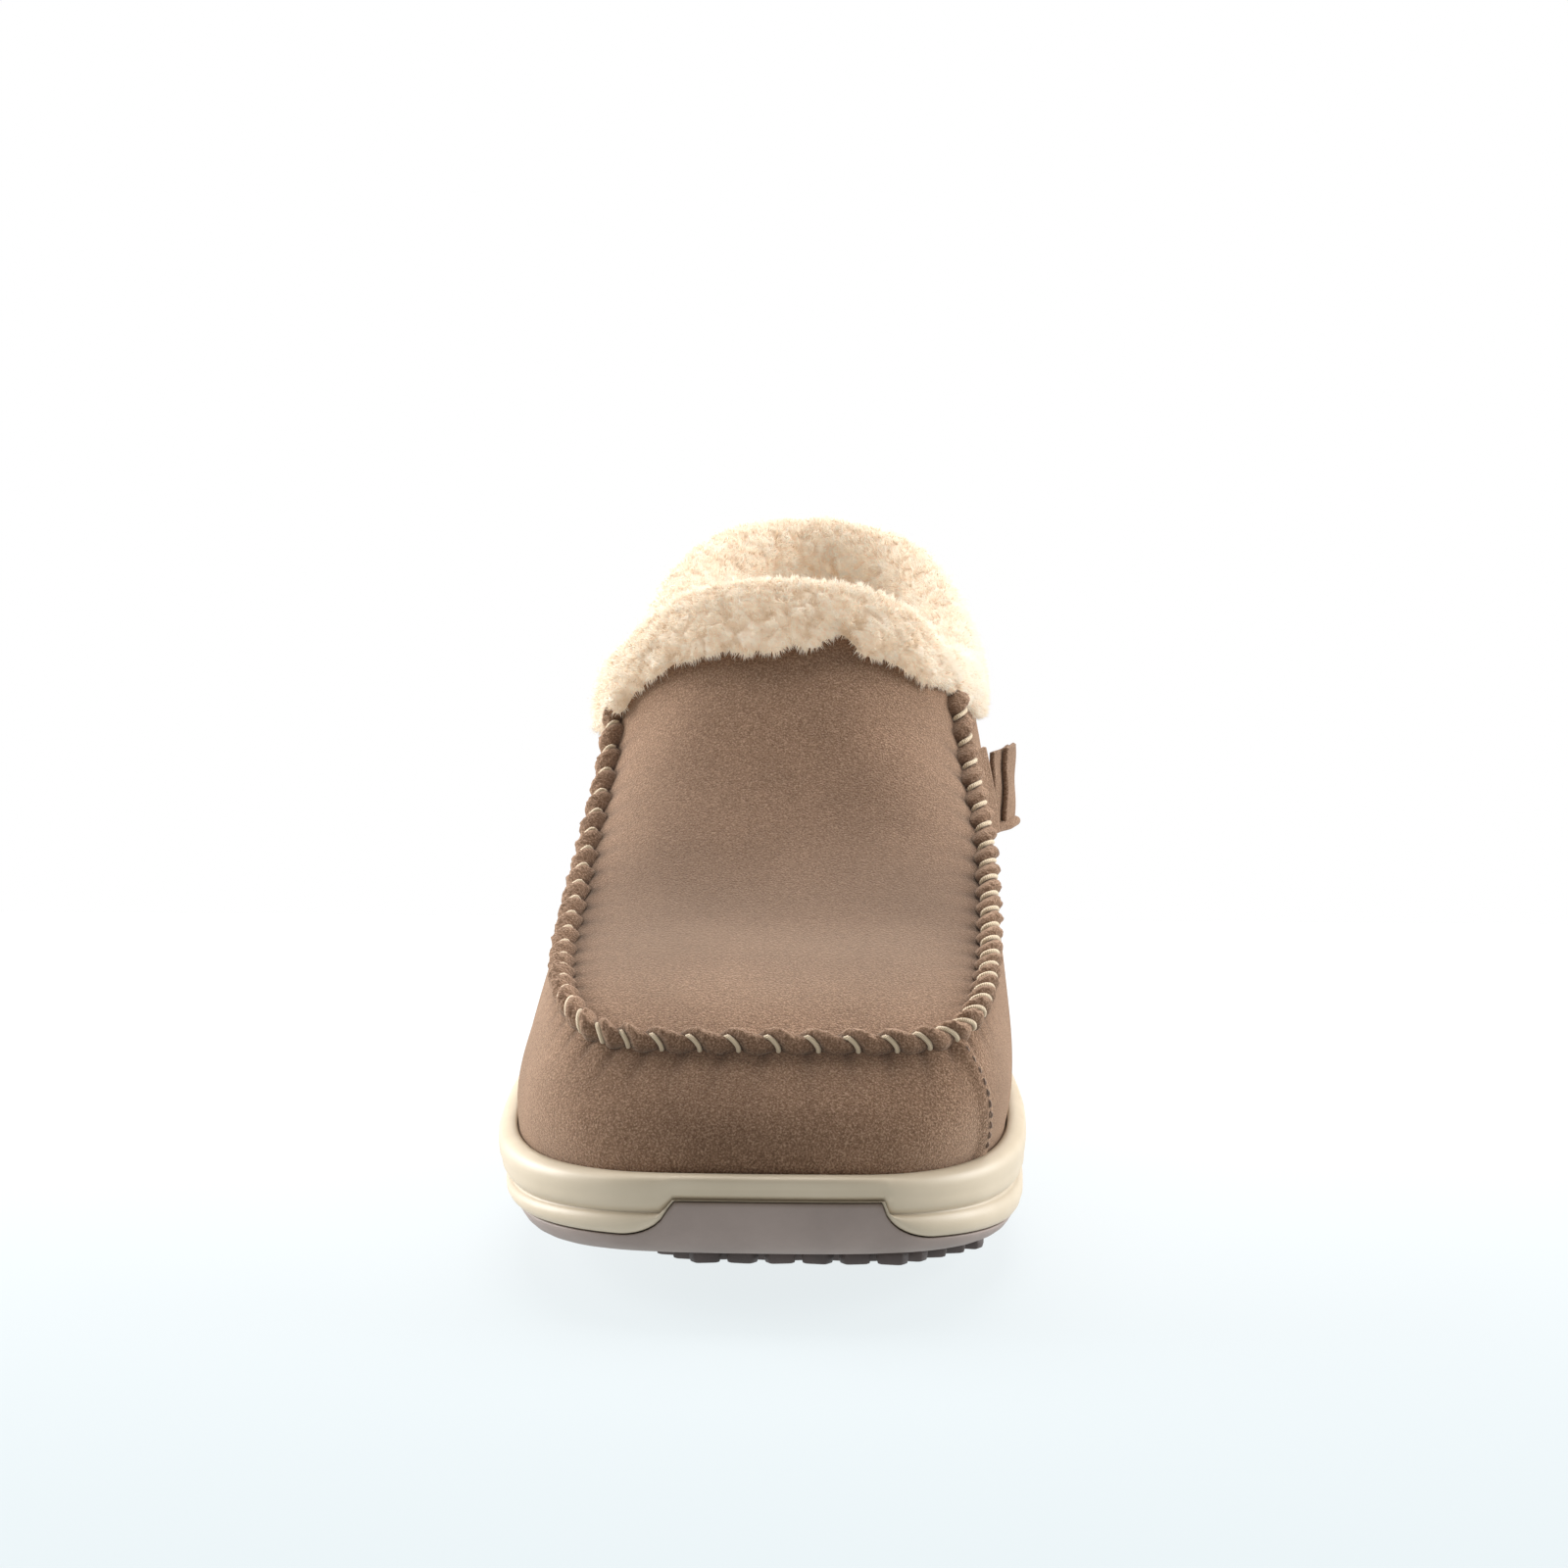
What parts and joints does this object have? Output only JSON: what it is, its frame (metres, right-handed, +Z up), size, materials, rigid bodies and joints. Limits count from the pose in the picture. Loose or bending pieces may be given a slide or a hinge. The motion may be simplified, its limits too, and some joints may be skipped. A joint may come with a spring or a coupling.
{
  "type": "moccasin",
  "caption": "Right-foot slip-on moccasin: suede upper with a whipstitched apron, shearling cuff and lining, foam midsole and lugged rubber outsole.",
  "frame": {"origin": "on the ground under the centre of the whole shoe's box", "axes": "+Y from the toe towards the heel, +X towards the medial (inner) side of a right foot, +Z up"},
  "size_m": [0.1122, 0.3, 0.1322],
  "materials": {
    "suede_brown": "napped suede",
    "fleece_cream": "curly shearling pile",
    "foam_cream": "moulded satin foam",
    "rubber_taupe": "moulded matt rubber",
    "rubber_dark": "matt rubber",
    "thread_cream": "waxed twisted thread",
    "thread_brown": "fine twisted thread",
    "board_tan": "pressed fibre board",
    "foam_grey": "open-cell foam",
    "stiffener_white": "thermoplastic sheet"
  },
  "bodies": {
    "shoe": {"outsole": "rubber_taupe", "forefoot_tread": "rubber_dark", "heel_tread": "rubber_dark", "midsole": "foam_cream", "insole_board": "board_tan", "footbed_foam": "foam_grey", "footbed_sock": "fleece_cream", "vamp": "suede_brown", "medial_quarter": "suede_brown", "lateral_quarter": "suede_brown", "backstay": "suede_brown", "apron": "suede_brown", "seam_ridge": "suede_brown", "whipstitch_thread": "thread_cream", "corner_seam_thread": "thread_brown", "backstay_thread_medial": "thread_brown", "backstay_thread_lateral": "thread_brown", "toe_puff": "stiffener_white", "heel_counter": "stiffener_white", "toe_lining": "fleece_cream", "apron_lining": "fleece_cream", "medial_lining": "fleece_cream", "lateral_lining": "fleece_cream", "collar_cuff": "fleece_cream", "tab_root": "suede_brown"},
    "side_tab": {"side_tab": "suede_brown"}
  },
  "joints": [
    {"name": "tab_fold", "type": "hinge", "parent": "shoe", "child": "side_tab", "pos_m": [0.0483, -0.0055, 0.083], "axis": [0, 0, 1], "range_deg": [-70, 12], "stiffness_Nm_per_rad": 0.0005}
  ]
}
